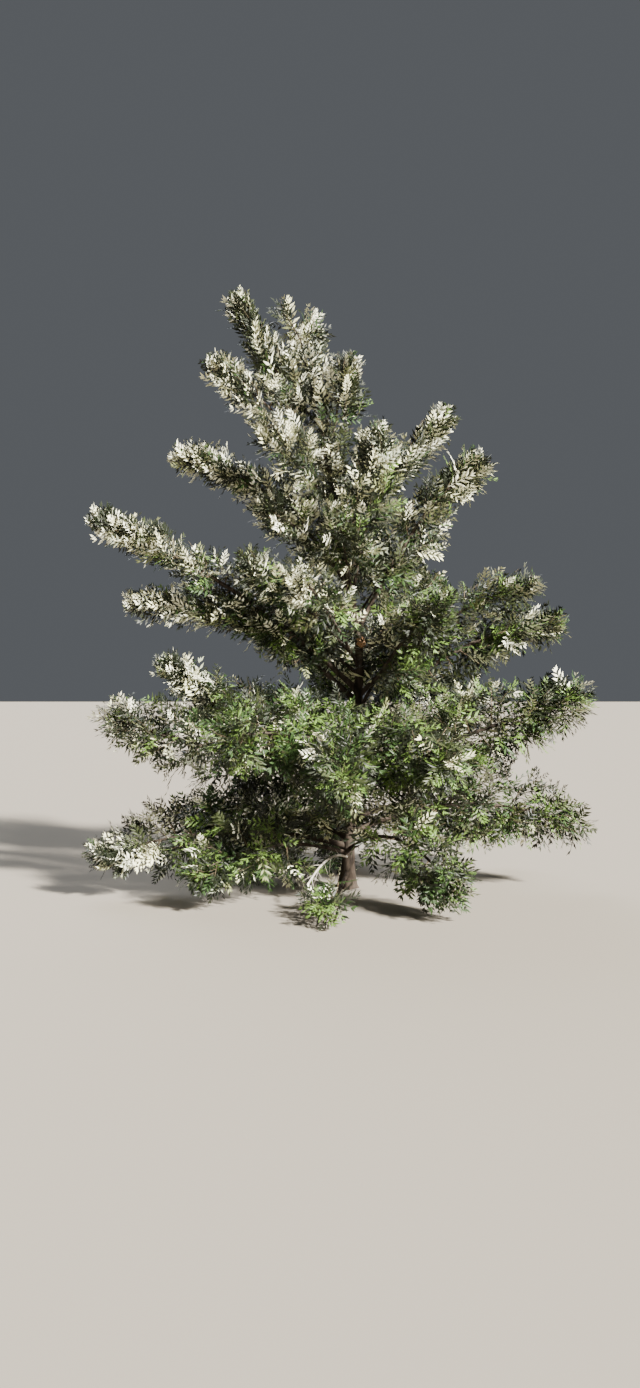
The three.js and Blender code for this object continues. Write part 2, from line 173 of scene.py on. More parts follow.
GREEN_UP = 1.1  # and how much further that of green ones does
TURNED_OVER = -0.8  # share of that turn in sprays that show their undersides
FACE_SWAY = 0.35
TURNED_SHARE = 0.42  # of silver sprays that show their undersides
GREEN_TURNED_LESS = 0.12  # how many fewer green ones do
NEW_SHADES = 0.45  # share of leaves at which a spray's shades change

# A leaf one unit long: its rachis and the pairs of leaflets along it
LEAF_FORMS = ((1, 5, 0.25), (2, 4, 0.6), (3, 5, -0.15), (4, 4, 0.9), (5, 4, 0.45))  # seed, pairs, curl
FIRST_PAIR = 0.12
PAIRS_SPAN = 0.78  # from the first pair to the last
STAGGER = 0.018  # of the two leaflets of a pair, each way
LEAFLET_LENGTH = (0.18, 0.24)  # least, and how much is added where the leaf is widest
SWELL_FROM = 0.2  # where the leaf's foot lies in the half wave that is its outline
SWELL_POWER = 0.8  # below 1, which makes the outline fuller
LEAFLET_SIZES = (0.85, 1.1)  # shares of that length
LEAFLET_HALF = (0.020, 0.085)  # half its width, and how much is added for each unit of length
LEAFLET_ANGLE = (58, 30)  # degrees from the rachis at its foot, and how many fewer at its tip
LEAFLET_SWAY = 7
LEAFLET_LIFT = (-0.2, 0.3)
LEAFLET_TWIST = 0.35
LEAFLET_WIDEST = 0.45  # share of its length
LEAFLET_SAG = (0.09, 0.1)  # where it is widest, and at its tip
END_LEAFLET = (0.93, 0.2, 0.03)  # place, length and half width
RACHIS = ((0, 0.011), (0.5, 0.008), (0.98, 0.002))  # places and radii
RACHIS_SIDES = (90, 210, 330)  # degrees round it

# Columns of the row of numbers that stands for a leaf
ROOT, WAY, NORMAL = slice(0, 3), slice(3, 6), slice(6, 9)
LENGTH, KIND, UPPER_SHADE, UNDER_SHADE = 9, 10, 11, 12

SHADES = {
    # near-black painted shade: stands for the shadow between leaves, on upper sides and undersides alike
    "leaf_painted_shade": (0.009, 0.013, 0.005),
    "leaf_olive": (0.034, 0.044, 0.015),
    "leaf_green": (0.024, 0.052, 0.012),
    "leaf_bright": (0.092, 0.160, 0.030),
    "silver_grey": (0.320, 0.350, 0.250),
    "silver_olive": (0.175, 0.192, 0.085),
    "silver_cream": (0.710, 0.710, 0.460),
    # partly the leaf's own pale silver underside, partly painted highlight: made brighter still to stand for
    # sunlight on it
    "silver_and_painted_highlight": (0.870, 0.880, 0.680),
}
# Shares of those shades on the two sides of leaves, first in the silver crown, then in the green skirt
# The first column of each row is the near-black painted shade, the last the pale silver with its painted
# highlight
UPPER_SHARES = (
    (0.66, 0.15, 0.07, 0.00, 0.02, 0.02, 0.04, 0.04),
    (0.42, 0.12, 0.21, 0.25, 0.00, 0.00, 0.00, 0.00),
)
UNDER_SHARES = (
    (0.30, 0.09, 0.02, 0.00, 0.03, 0.04, 0.19, 0.33),
    (0.46, 0.20, 0.02, 0.00, 0.05, 0.10, 0.10, 0.07),
)
MIX_POWER = 1.5  # how late green shades take over from silver ones
LEAF_GLOSS = (0.5, 0.35)  # roughness and specular
GREEN_AT_FOOT = 1.55
GREEN_LOST = 0.40  # with each metre up
GREEN_GAINED = 0.07  # with each metre to the right
MOST_GREEN = 0.8  # outside the places below
FRONT = 0.2  # those places end this far behind the trunk
# Places where sprays turn silver or green in front: across, height, radius, and how green they are
SPOTS = (
    (-1.73, 2.89, 0.28, 0.0),
    (-0.50, 3.81, 0.30, 0.0),
    (0.50, 3.42, 0.25, 0.0),
    (-0.33, 2.31, 0.10, -0.3),
    (-1.36, 1.76, 0.18, 0.0),
    (-1.16, 1.42, 0.18, 0.0),
    (-1.62, 0.51, 0.32, 0.0),
    (0.24, 1.37, 0.40, 1.0),
    (0.66, 0.32, 0.42, 1.0),
    (-0.12, 0.12, 0.35, 1.0),
    (-1.02, 0.30, 0.22, 1.0),
    (-0.85, 1.12, 0.20, 1.0),
    (1.05, 0.75, 0.50, 1.0),
    (1.55, 0.62, 0.30, 1.0),
    (1.45, 1.40, 0.30, 1.0),
)

# Wood: its dark and its pale tone, and how fine its grain is
WOODS = {
    # both tones are partly the bark's own dark brown, partly painted shade: darkened for the shade that the
    # trunk stands in
    "bark": ((0.016, 0.012, 0.009), (0.066, 0.050, 0.038), 30),
    "twig_bark": ((0.060, 0.044, 0.028), (0.150, 0.115, 0.072), 25),
    "torn_wood": ((0.26, 0.13, 0.06), (0.55, 0.34, 0.18), 60),
    "dead_wood": ((0.30, 0.27, 0.23), (0.52, 0.48, 0.42), 40),
}
WOOD_GLOSS = (0.85, 0.2)  # roughness before its noise, and specular
WOOD_ROUGHNESS = (0.95, 0.7)  # in its dark and its pale grain
WOOD_BUMP = (0.6, 0.004)  # strength and depth
GRAIN_STRETCH = 0.25  # how fine the grain is upwards, as a share of its fineness across
GRAIN_DETAIL = 4
TONE_STOPS = (0.35, 0.65)

# Furrows in bark: how many round the wood, their pitch along it, and their share in the relief
TRUNK_FURROWS = ((12, 0.05, 1), (24, 0.018, 0.6))
BOUGH_FURROWS = ((4, 0.035, 1), (7, 0.012, 0.5))
DEAD_FURROWS = ((4, 0.035, 1), (6, 0.012, 0.5))
TRUNK_DEPTH = 0.045
BOUGH_DEPTH = 0.05
DEAD_DEPTH = 0.08
RELIEF_ROWS = 400  # along the wood, after which the relief would repeat
TRUNK_SEED = 5
DEAD_SEED = 77

# The fineness of the wood's meshes
TRUNK_SIDES = 48
TRUNK_FOOT = 0.4  # height of the part with closer rings
TRUNK_RINGS = (60, 320)  # in that part, and above it
BOUGH_SIDES = 14
BOUGH_RINGS = 70
BOUGH_OVERLAP = 0.004  # of a bough with its mass's stem, as a share of the limb
STEM_SIDES = 8
STEM_RINGS = 14
STEM_THINS_FROM = 0.6  # share of its limb from which a stem is thinner than the source's
STEM_THINNING = 0.5  # and by what share of its radius, if it went on to the limb's tip
TWIG_SIDES = 3
TWIG_RINGS = 3
DEAD_SIDES = 10
DEAD_RINGS = 40

# The torn stub on the trunk's front, by rings from inside the trunk out
STUB_SEED = 3
STUB_HEIGHT = 1.96
STUB_ACROSS = 0.012
STUB_WAY = (0.25, -1, 0.2)
STUB_REACH = (-0.015, 0.0, 0.018, 0.03, 0.034)
STUB_GIRTH = (0.042, 0.036, 0.028, 0.025, 0.014)
STUB_RAGGED = (0.82, 1.15)
STUB_LOBES = 0.35
STUB_SIDES = 16
STUB_BARK_RINGS = 1  # the rings past these are torn wood

# The dead limb's bare twigs
DEAD_TWIG_PLACES = np.linspace(0.25, 0.97, 14)
DEAD_TWIG_ANGLE = 46
DEAD_TWIG_DROOP = 0.35
DEAD_TWIG_LENGTH = 0.11
DEAD_TWIG_RADII = (0.0026, 0.001)
DEAD_TWIG_BEND = -0.1
DEAD_TWIG_RINGS = 4
DEAD_TWIG_SIDES = 4
LEAST_FALL = 0.01  # slope below which a twig counts as level

# The pieces of leaves: their slots, and the masses that each one dresses
PIECES = {
    "leaves_top": (
        "foliage_silver",
        ["leader_left", "leader_top", "leader_right", "crown_left", "crown_right"],
    ),
    "leaves_upper": (
        "foliage_silver",
        ["front_crown", "back_crown", "side_left", "mid_left", "arm_left"],
    ),
    "leaves_middle": (
        "foliage_silver",
        ["inner_left", "front_high", "front_mid", "front_plume", "back_left_high"],
    ),
    "leaves_right": (
        "foliage_silver",
        ["arm_right_top", "arm_right_high", "arm_right_mid", "mid_right"],
    ),
    "leaves_back": (
        "foliage_silver",
        ["back_high", "back_right_high"],
    ),
    "leaves_skirt_left": (
        "foliage_green",
        ["low_arm_left", "skirt_left", "skirt_left_high", "ground_left"],
    ),
    "leaves_skirt_front": (
        "foliage_green",
        ["front_skirt_left", "front_skirt", "front_skirt_right", "front_right"],
    ),
    "leaves_skirt_right": (
        "foliage_green",
        ["arm_right", "skirt_right", "low_arm_right"],
    ),
    "leaves_skirt_back": (
        "foliage_green",
        ["back_left", "back", "back_right"],
    ),
    "leaves_ground_front": (
        "foliage_green",
        ["ground_front_left", "ground_front", "ground_front_right"],
    ),
    "leaves_ground_back": (
        "foliage_green",
        ["ground_back_left", "ground_back", "ground_back_right"],
    ),
}

# Stage, light and camera
FLOOR_SIZE = 400
FLOOR_COLOUR = (0.25, 0.225, 0.19)
FLOOR_GLOSS = (0.95, 0.1)
SKY_COLOUR = (0.68, 0.73, 0.80)
SKY_STRENGTH = 0.15
# name, strength, softness in degrees, colour, and degrees from overhead and round
SUNS = (
    ("key", 28, 5, (1.0, 0.96, 0.88), 60, 46),
    ("back_fill", 3.4, 40, (0.92, 0.96, 1.0), 50, 200),
)
CAMERA_PLACE = (-0.216, -8.37, 1.55)
CAMERA_PITCH = 90  # degrees, which is level
CAMERA_SENSOR = 36
CAMERA_LENS = 27.13


# The source's trunk and limbs
def unit(vectors):
    """The vectors at length one."""
    return vectors / np.maximum(np.linalg.norm(vectors, axis=-1, keepdims=True), TINY)


def square_to(vector, way):
    """What a vector has at right angles to a direction, at length one."""
    return unit(vector - vector @ way * way)


def side_of(way):
    """A direction at right angles to another, and upright where that can be."""
    return square_to(np.array([1.0, 0, 0]) if abs(way[2]) > STEEP else UP, way)


def smooth_line(points, steps):
    """A centripetal Catmull-Rom line through the points, in small steps."""
    p = np.array(points, float)
    p = np.vstack([2 * p[0] - p[1], p, 2 * p[-1] - p[-2]])
    t = np.linspace(0, 1, steps, endpoint=False)[:, None]
    line = []
    for a, b, c, d in zip(p, p[1:], p[2:], p[3:]):
        ab, bc, cd = (np.linalg.norm(v) ** 0.5 for v in (b - a, c - b, d - c))
        leave = ((b - a) / ab - (c - a) / (ab + bc) + (c - b) / bc) * bc
        arrive = ((c - b) / bc - (d - b) / (bc + cd) + (d - c) / cd) * bc
        line.append(
            b
            + leave * t
            + (3 * (c - b) - 2 * leave - arrive) * t**2
            + (2 * (b - c) + leave + arrive) * t**3
        )
    return np.vstack([*line, p[-2]])


TRUNK_POINTS = smooth_line(TRUNK_LINE, TRUNK_STEPS) * MM


def trunk_at(height):
    """The trunk's line at a height."""
    return np.stack([np.interp(height, TRUNK_POINTS[:, 2], TRUNK_POINTS[:, i]) for i in range(3)], -1)


def trunk_radius(height):
    """The trunk's radius at a height, with its flare and without its ribs."""
    taper = (1 - np.minimum(height / TRUNK_TOP, 1)) ** TRUNK_TAPER
    straight = TRUNK_TIP_RADIUS + (TRUNK_RADIUS - TRUNK_TIP_RADIUS) * taper
    return straight + FLARE * np.exp(-height / FLARE_HEIGHT)


class Limb:
    """A limb of the source: its bow, its girth and the space that its leaves keep to."""

    def __init__(self, name, start, bearing, out, top, arch, bare, spread):
        turn = math.radians(bearing)
        self.name = name
        self.bare = bare
        self.spread = spread * MM
        self.root = trunk_at(start * MM)
        self.tip = np.array([out * math.cos(turn), out * math.sin(turn), top]) * MM
        self.middle = (self.root + self.tip) / 2 + 2 * arch * np.linalg.norm(self.tip - self.root) * UP
        steps = self.point(np.linspace(0, 1, LIMB_STEPS))
        self.length = np.linalg.norm(np.diff(steps, axis=0), axis=1).sum()
        self.root_radius = min(LIMB_GIRTH * self.length, LIMB_SHARE * trunk_radius(start * MM))
        self.tip_radius = min(LIMB_TIP_RADIUS, LIMB_TIP_SHARE * self.root_radius)
        way = np.linspace(0, 1, SPACE_POINTS)
        end = 1 - (1 - TAPER) * self.spread / self.length
        self.centres = self.point(bare + (end - bare) * way)
        self.radii = self.spread * (1 - TAPER * way**2)

    def point(self, share):
        """Its bow at a share of the way to its tip."""
        s = np.asarray(share, float)[..., None]
        return (1 - s) ** 2 * self.root + 2 * s * (1 - s) * self.middle + s**2 * self.tip

    def tangent(self, share):
        """Its direction there."""
        s = np.asarray(share, float)[..., None]
        return unit((1 - s) * (self.middle - self.root) + s * (self.tip - self.middle))

    def radius(self, share):
        """Its radius there, with the collar at its root."""
        collar = COLLAR * self.root_radius * np.exp(-share * self.length / COLLAR_LENGTH)
        taper = (1 - share) ** LIMB_TAPER
        return self.tip_radius + (self.root_radius - self.tip_radius) * taper + collar

    def depth(self, points):
        """How far out in the space points lie: 0 on its middle line, 1 at its edge."""
        apart = np.linalg.norm(np.asarray(points)[..., None, :] - self.centres, axis=-1)
        return (apart / self.radii).min(-1)


boughs = [Limb(*row) for row in LIMBS]
masses = boughs + [Limb(*row) for row in LEADERS]


# Leaves: each kind of leaf is shaped once and placed many times
def leaf_kind(seed, pairs, curl):
    """Vertices, triangles and which triangles show the underside, of a leaf one unit long.

    It is a rachis with pairs of leaflets, +X to the tip and +Z the upper side.
    """
    random = np.random.default_rng(seed)
    points, triangles, under = [], [], []

    def spine(s):
        """A place on the curled rachis, its direction there and its upper side."""
        turn = curl * s
        place = np.array([math.sin(turn) / curl, 0, -(1 - math.cos(turn)) / curl])
        along = np.array([math.cos(turn), 0, -math.sin(turn)])
        return place, along, np.array([-along[2], 0, along[0]])

    def leaflet(root, way, lift, length, half):
        """A blade folded along its middle: two upper faces, then two under faces."""
        across = unit(np.cross(lift, way)) * half
        middle = root + way * length * LEAFLET_WIDEST - lift * length * LEAFLET_SAG[0]
        tip = root + way * length - lift * length * LEAFLET_SAG[1]
        n = len(points)
        points.extend([root, middle + across, tip, middle - across])
        triangles.extend([(n, n + 2, n + 1), (n, n + 3, n + 2), (n, n + 1, n + 3), (n + 1, n + 2, n + 3)])
        under.extend([0, 0, 1, 1])

    for i in range(pairs):
        s = FIRST_PAIR + PAIRS_SPAN * i / (pairs - 1)
        swell = math.sin(math.pi * (SWELL_FROM + (1 - SWELL_FROM) * s)) ** SWELL_POWER
        longest = LEAFLET_LENGTH[0] + LEAFLET_LENGTH[1] * swell
        for side in (1, -1):
            place, along, lift = spine(s + STAGGER * side)
            sway = random.uniform(-LEAFLET_SWAY, LEAFLET_SWAY)
            angle = math.radians(LEAFLET_ANGLE[0] - LEAFLET_ANGLE[1] * s + sway)
            way = along * math.cos(angle) + np.array([0, side * math.sin(angle), 0])
            way = unit(way + lift * random.uniform(*LEAFLET_LIFT))
            up = lift + random.uniform(-LEAFLET_TWIST, LEAFLET_TWIST) * np.cross(lift, way)
            length = longest * random.uniform(*LEAFLET_SIZES)
            leaflet(place, way, square_to(up, way), length, LEAFLET_HALF[0] + LEAFLET_HALF[1] * length)
    place, along, lift = spine(END_LEAFLET[0])
    leaflet(place, along, lift, *END_LEAFLET[1:])

    sides = len(RACHIS_SIDES)
    for ring, (s, radius) in enumerate(RACHIS):
        place, along, lift = spine(s)
        n = len(points)
        for angle in RACHIS_SIDES:
            turn = math.radians(angle)
            out = math.cos(turn) * np.array([0, 1.0, 0]) + math.sin(turn) * lift
            points.append(place + radius * out)
        if ring > 0:
            for k in range(sides):
                a, b = n + k, n + (k + 1) % sides
                triangles.extend([(a - sides, b - sides, b), (a - sides, b, a)])
                under.extend([0, 0])
    return np.array(points), np.array(triangles), np.array(under)


LEAF_KINDS = [leaf_kind(*form) for form in LEAF_FORMS]


def greenness(point):
    """How far green upper sides turn to the sky: more towards the ground, and where a spot says so."""
    green = GREEN_AT_FOOT - GREEN_LOST * point[2] + GREEN_GAINED * point[0]
    green = float(np.clip(green, 0, MOST_GREEN))
    for across, height, radius, level in SPOTS:
        if point[1] < FRONT and math.hypot(point[0] - across, point[2] - height) < radius:
            green = level
    return green


def shades_for(green, random):
    """Which upper and under shade a spray's leaves have, by their places in SHADES.

    Where green is below 0, both sides have the shades of undersides.
    """
    mix = max(green, 0) ** MIX_POWER
    sides = (UPPER_SHARES, UNDER_SHARES)
    shares = [(1 - mix) * np.array(crown) + mix * np.array(skirt) for crown, skirt in sides]
    if green < 0:
        shares[0] = shares[1]
    return [int(random.choice(len(SHADES), p=share)) for share in shares]


# Growth
def room_for(mass, start, direction, most, reach):
    """The longest way, up to most, that a line can go from a point and stay in a mass's space."""
    lengths = most * np.arange(ROOM_STEPS, 0, -1) / ROOM_STEPS
    probes = start + direction * (lengths[:, None, None] * np.array(PROBES)[:, None])
    fits = ((mass.depth(probes) <= reach) & (probes[..., 2] >= GROUND_CLEARANCE)).all(-1)
    return lengths[fits.argmax()] if fits.any() else 0


def fork_from(direction, angle, turn):
    """The direction that leaves a line at an angle, on the side that a turn about the line gives."""
    side = side_of(direction)
    other = np.cross(direction, side)
    out = side * math.cos(turn) + other * math.sin(turn)
    slant = math.radians(angle)
    return direction * math.cos(slant) + out * math.sin(slant)


class Shoot:
    """A stretch of twig that bends a little on its way."""

    def __init__(self, start, direction, length, radii, bend):
        self.start = start
        self.direction = direction
        self.length = length
        self.radii = radii
        self.bend = bend

    def point(self, share):
        """Its line at a share of the way to its tip."""
        s = np.asarray(share, float)[..., None]
        return self.start + self.length * (self.direction * s + self.bend * UP * s**2)

    def tangent(self, share):
        """Its direction there."""
        return unit(self.direction + 2 * self.bend * UP * share)

    def radius(self, share):
        """Its radius there."""
        return self.radii[0] + (self.radii[1] - self.radii[0]) * share


def shoot_from(mass, stem, share, angle, turn, reach, lengths, random):
    """A shoot from a stem, on the side where there is most room, or nothing."""
    start = stem.point(share)
    line = stem.tangent(share)
    ways = []
    for i in range(TRIES if angle else 1):
        way = unit(fork_from(line, angle, turn + i * 2 * math.pi / TRIES) + UP * TWIG_RISE)
        ways.append((room_for(mass, start, way, lengths[1], reach), i, way))
    room, _, way = max(ways, key=lambda found: found[:2])
    if room < lengths[0]:
        return None
    radius = TWIG_GIRTH * stem.radius(share)
    radii = (max(radius, LEAST_RADII[0]), max(TWIG_TIP_GIRTH * radius, LEAST_RADII[1]))
    return Shoot(start, way, room, radii, random.uniform(*TWIG_BEND))


def dress(shoot, mass, leaves, random, bare, size):
    """Leaves round a shoot, each a golden angle on from the last, smaller and closer to it at the tip."""
    green = greenness(shoot.point(0.5))
    turned = random.random() < TURNED_SHARE - GREEN_TURNED_LESS * green
    reach = LEAF_REACH * random.uniform(*RAGGED)
    shades = shades_for(green, random)
    green = max(green, 0)
    count = max(FEWEST, int(shoot.length * (1 - bare) / LEAF_SPACING))
    turn = random.uniform(0, 2 * math.pi)
    for i in range(count + 1):
        along = i / count
        share = bare + (1 - bare) * i / count
        root = shoot.point(share)
        line = shoot.tangent(share)
        angle = LEAF_END
        if i < count:
            spread = LEAF_OPEN + (LEAF_CLOSED - LEAF_OPEN) * along**LEAF_CLOSING
            angle = spread + GREEN_OPEN * green + random.uniform(-LEAF_SWAY, LEAF_SWAY)
        lift = LEAF_LIFT * (1 - GREEN_SINKS * green) + random.uniform(-LIFT_SWAY, LIFT_SWAY)
        length = size * LEAF_LENGTH * (1 - LEAF_SMALLER * along**2) * random.uniform(*LEAF_SIZES)
        for slant, part in LEAF_FITS:
            way = unit(fork_from(line, slant * angle, turn + i * GOLDEN_ANGLE) + UP * lift)
            tip = root + way * length * part
            if mass.depth(tip) <= reach and tip[2] >= GROUND_CLEARANCE:
                break
        else:
            continue
        facing = line + UP * (GREEN_UP * green + SILVER_UP) * (TURNED_OVER if turned else 1)
        facing = facing + random.uniform(-FACE_SWAY, FACE_SWAY, 3)
        if random.random() < NEW_SHADES:
            shades = shades_for(green, random)
        kind = random.integers(len(LEAF_KINDS))
        leaves.append((*root, *way, *square_to(facing, way), length * part, kind, *shades))


def stem_stop(mass):
    """Where a mass's stem ends, as a share of its limb."""
    return max(1 - STEM_STOP / mass.length, LEAST_STEM)


def grow(mass, seed, leaves, shoots):
    """Twigs and leaves along a mass's stem, each twig a golden angle round from the last."""
    random = np.random.default_rng(seed)
    stop = stem_stop(mass)
    count = max(FEWEST, round((stop - mass.bare) * mass.length / TWIG_SPACING))
    for i in range(count + 1):
        share = mass.bare + (stop - mass.bare) * i / count
        angle = 0
        if i < count:
            angle = np.interp(i / count, (0, 1), TWIG_ANGLE) + random.uniform(-TWIG_SWAY, TWIG_SWAY)
        turn = i * GOLDEN_ANGLE + random.random()
        reach = TWIG_REACH * random.uniform(*TWIG_RAGGED)
        twig = shoot_from(mass, mass, share, angle, turn, reach, TWIG_LENGTH, random)
        if twig is None:
            continue
        shoots.append(twig)
        dress(twig, mass, leaves, random, TWIG_BARE, 1)
        for j, place in enumerate(FORK_PLACES):
            side = turn + j * GOLDEN_ANGLE
            reach = TWIG_REACH * random.uniform(*RAGGED)
            fork = shoot_from(mass, twig, place, FORK_ANGLE, side, reach, FORK_LENGTH, random)
            if fork is not None:
                shoots.append(fork)
                dress(fork, mass, leaves, random, FORK_BARE, FORK_LEAVES)


# Meshes and materials
def mesh_object(name, points, triangles, materials, shade_of_face=None, smooth=False):
    """A mesh in the scene; shade_of_face says which of the materials each triangle has."""
    mesh = bpy.data.meshes.new(name)
    mesh.vertices.add(len(points))
    mesh.vertices.foreach_set("co", np.asarray(points, np.float32).ravel())
    mesh.loops.add(triangles.size)
    mesh.loops.foreach_set("vertex_index", triangles.astype(np.int32).ravel())
    mesh.polygons.add(len(triangles))
    mesh.polygons.foreach_set("loop_start", np.arange(0, triangles.size, 3, dtype=np.int32))
    for material in materials:
        mesh.materials.append(material)
    if shade_of_face is not None:
        mesh.polygons.foreach_set("material_index", shade_of_face.astype(np.int32))
    mesh.polygons.foreach_set("use_smooth", np.full(len(triangles), smooth))
    mesh.update(calc_edges=True)
    mesh.validate()
    made = bpy.data.objects.new(name, mesh)
    bpy.context.scene.collection.objects.link(made)
    return made


def plain(name, colour, roughness, specular):
    """A material of one colour."""
    material = bpy.data.materials.new(name)
    material.use_nodes = True
    surface = material.node_tree.nodes["Principled BSDF"]
    surface.inputs["Base Color"].default_value = (*colour, 1)
    surface.inputs["Roughness"].default_value = roughness
    surface.inputs["Specular IOR Level"].default_value = specular
    return material


def bark_material(name, dark, pale, scale):
    """Wood in two tones, mixed by a noise drawn out upwards; the dark grain is rougher and deeper."""
    material = plain(name, pale, *WOOD_GLOSS)
    nodes, links = material.node_tree.nodes, material.node_tree.links
    surface = nodes["Principled BSDF"]
    place = nodes.new("ShaderNodeTexCoord")
    stretch = nodes.new("ShaderNodeMapping")
    stretch.inputs["Scale"].default_value = (scale, scale, scale * GRAIN_STRETCH)
    noise = nodes.new("ShaderNodeTexNoise")
    noise.inputs["Scale"].default_value = 1
    noise.inputs["Detail"].default_value = GRAIN_DETAIL
    ramp = nodes.new("ShaderNodeValToRGB")
    for stop, position, colour in zip(ramp.color_ramp.elements, TONE_STOPS, (dark, pale)):
        stop.position = position
        stop.color = (*colour, 1)
    rough = nodes.new("ShaderNodeMapRange")
    rough.inputs["To Min"].default_value = WOOD_ROUGHNESS[0]
    rough.inputs["To Max"].default_value = WOOD_ROUGHNESS[1]
    bump = nodes.new("ShaderNodeBump")
    bump.inputs["Strength"].default_value = WOOD_BUMP[0]
    bump.inputs["Distance"].default_value = WOOD_BUMP[1]
    links.new(place.outputs["Object"], stretch.inputs["Vector"])
    links.new(stretch.outputs["Vector"], noise.inputs["Vector"])
    links.new(noise.outputs["Fac"], ramp.inputs["Fac"])
    links.new(noise.outputs["Fac"], rough.inputs["Value"])
    links.new(noise.outputs["Fac"], bump.inputs["Height"])
    links.new(ramp.outputs["Color"], surface.inputs["Base Color"])
    links.new(rough.outputs["Result"], surface.inputs["Roughness"])
    links.new(bump.outputs["Normal"], surface.inputs["Normal"])
    return material


def tube_triangles(rings, sides):
    """The triangles between the rings of a tube, and those of its two ends."""
    k = np.arange(sides)
    a = (np.arange(rings - 1)[:, None] * sides + k).ravel()
    b = (np.arange(rings - 1)[:, None] * sides + (k + 1) % sides).ravel()
    fan = np.stack([np.zeros(sides - 2, int), k[1:-1], k[2:]], 1)
    walls = [np.stack([a, b, b + sides], 1), np.stack([a, b + sides, a + sides], 1)]
    return np.vstack([*walls, fan[:, ::-1], fan + (rings - 1) * sides])


def ring_tube(centres, radii, sides):
    """Points and triangles of a tube; radii is one row of side radii per centre, or one radius each."""
    tangents = unit(np.gradient(centres, axis=0))
    normal = side_of(tangents[0])
    angles = np.arange(sides) * 2 * math.pi / sides
    points = []
    for centre, tangent, radius in zip(centres, tangents, radii):
        normal = square_to(normal, tangent)
        other = np.cross(tangent, normal)
        ring = np.cos(angles)[:, None] * normal + np.sin(angles)[:, None] * other
        points.append(centre + ring * np.reshape(radius, (-1, 1)))
    return np.vstack(points), tube_triangles(len(centres), sides)


def joined(parts):
    """Several (points, triangles) pairs as one."""
    offset, points, triangles = 0, [], []
    for p, t in parts:
        points.append(p)
        triangles.append(t + offset)
        offset += len(p)
    return np.vstack(points), np.vstack(triangles)


def relief(angle, along, random, around, pitch):
    """Relief from -1 in the furrows to 1 on the ridges, by angle and place along the wood."""
    grid = random.random((RELIEF_ROWS, around))
    column = angle / (2 * math.pi) * around
    row = along / pitch
    left = np.floor(column).astype(int)
    below = np.floor(row).astype(int)
    across = column - left
    across = across * across * (3 - 2 * across)
    up = row - below
    up = up * up * (3 - 2 * up)

    def height(row, column):
        """The grid's random height at a row and column, from 0 to 1."""
        return grid[row % RELIEF_ROWS, column % around]

    lower = height(below, left) * (1 - across) + height(below, left + 1) * across
    upper = height(below + 1, left) * (1 - across) + height(below + 1, left + 1) * across
    return 2 * (lower * (1 - up) + upper * up) - 1


def bark_relief(angle, along, seed, furrows):
    """The reliefs of all its furrows together."""
    random = np.random.default_rng(seed)
    return sum(share * relief(angle, along, random, around, pitch) for around, pitch, share in furrows)


def bark_tube(limb, sides, rings, depth, seed, furrows, end=1):
    """A limb with furrowed bark, from its root to a share of its length."""
    share = np.linspace(0, end, rings)
    centres = limb.point(share)
    along = np.concatenate([[0], np.cumsum(np.linalg.norm(np.diff(centres, axis=0), axis=1))])
    angle, place = np.meshgrid(np.arange(sides) * 2 * math.pi / sides, along)
    radii = limb.radius(share)[:, None] * (1 + depth * bark_relief(angle, place, seed, furrows))
    return ring_tube(centres, radii, sides)


def trunk_mesh():
    """The trunk on level rings, with its ribs and furrowed bark."""
    foot = np.linspace(0, TRUNK_FOOT, TRUNK_RINGS[0], endpoint=False)
    heights = np.concatenate([foot, np.linspace(TRUNK_FOOT, TRUNK_TOP, TRUNK_RINGS[1])])
    angle, place = np.meshgrid(np.arange(TRUNK_SIDES) * 2 * math.pi / TRUNK_SIDES, heights)
    ribs = 1 + RIB_DEPTH * np.exp(-place / FLARE_HEIGHT) * np.cos(FLARE_RIBS * angle)
    bumps = 1 + TRUNK_DEPTH * bark_relief(angle, place, TRUNK_SEED, TRUNK_FURROWS)
    radii = trunk_radius(place) * ribs * bumps
    out = np.stack([np.cos(angle), np.sin(angle), 0 * angle], -1)
    points = trunk_at(heights)[:, None, :] + radii[..., None] * out
    return points.reshape(-1, 3), tube_triangles(len(heights), TRUNK_SIDES)


def stub_mesh():
    """The torn stub of a lost bough: a short collar out of the trunk with a splintered pale end."""
    random = np.random.default_rng(STUB_SEED)
    root = trunk_at(np.array(STUB_HEIGHT)) + np.array([STUB_ACROSS, 0, 0])
    reach = trunk_radius(STUB_HEIGHT) + np.array(STUB_REACH)
    centres = root + reach[:, None] * unit(np.array(STUB_WAY))
    girth = np.array(STUB_GIRTH)[:, None]
    lobes = 1 + STUB_LOBES * np.abs(np.cos(np.arange(STUB_SIDES) * 2 * math.pi / STUB_SIDES))
    radii = girth * random.uniform(*STUB_RAGGED, (len(girth), STUB_SIDES)) * lobes
    return ring_tube(centres, radii, STUB_SIDES)


def dead_twig(limb, place, turn):
    """A bare twig of the dead limb, kept off the ground."""
    start = limb.point(place)
    way = unit(fork_from(limb.tangent(place), DEAD_TWIG_ANGLE, turn) - UP * DEAD_TWIG_DROOP)
    room = (start[2] - GROUND_CLEARANCE) / max(-way[2], LEAST_FALL)
    twig = Shoot(start, way, min(DEAD_TWIG_LENGTH, room), DEAD_TWIG_RADII, DEAD_TWIG_BEND)
    line = twig.point(np.linspace(0, 1, DEAD_TWIG_RINGS))
    line[:, 2] = np.maximum(line[:, 2], GROUND_CLEARANCE)
    return ring_tube(line, np.linspace(*twig.radii, DEAD_TWIG_RINGS), DEAD_TWIG_SIDES)


